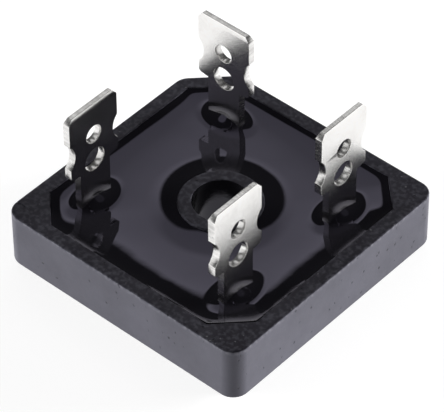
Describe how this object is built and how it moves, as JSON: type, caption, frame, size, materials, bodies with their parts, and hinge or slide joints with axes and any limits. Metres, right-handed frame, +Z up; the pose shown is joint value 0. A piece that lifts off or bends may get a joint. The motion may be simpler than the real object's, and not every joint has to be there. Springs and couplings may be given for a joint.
{
  "type": "bridge rectifier",
  "caption": "Square potted bridge rectifier with a central screw hole, a bevelled corner and upright push-on tab terminals.",
  "frame": {"origin": "centre of the screw hole on the underside of the base plate", "axes": "+Z up the screw hole towards the terminals; the bevelled positive corner is at -X, +Y and the negative corner at +X, -Y"},
  "size_m": [0.0286, 0.0286, 0.0186],
  "materials": {
    "moulded_plastic": "satin black thermoset moulding",
    "resin": "glossy black epoxy, cured in the case",
    "plated_metal": "bright silvery nickel plate on brass",
    "bare_aluminium": "brushed, slightly dull",
    "copper": "stamped copper, sealed inside",
    "silicon": "passivated silicon, sealed inside",
    "solder": "solder, sealed inside",
    "insulator": "thin ceramic-filled sheet, sealed inside"
  },
  "bodies": {
    "root": {"case": "moulded_plastic", "base_plate": "bare_aluminium", "insulating_sheet": "insulator", "potting": "resin", "terminal_positive": "plated_metal", "terminal_negative": "plated_metal", "terminal_input_a": "plated_metal", "terminal_input_b": "plated_metal", "plate_positive": "copper", "plate_negative": "copper", "strap_input_a": "copper", "strap_input_b": "copper", "die_1": "silicon", "die_2": "silicon", "die_3": "silicon", "die_4": "silicon", "solder_lower_1": "solder", "solder_lower_2": "solder", "solder_lower_3": "solder", "solder_lower_4": "solder", "solder_upper_1": "solder", "solder_upper_2": "solder", "solder_upper_3": "solder", "solder_upper_4": "solder", "solder_positive": "solder", "solder_negative": "solder", "solder_input_a": "solder", "solder_input_b": "solder"}
  },
  "joints": []
}
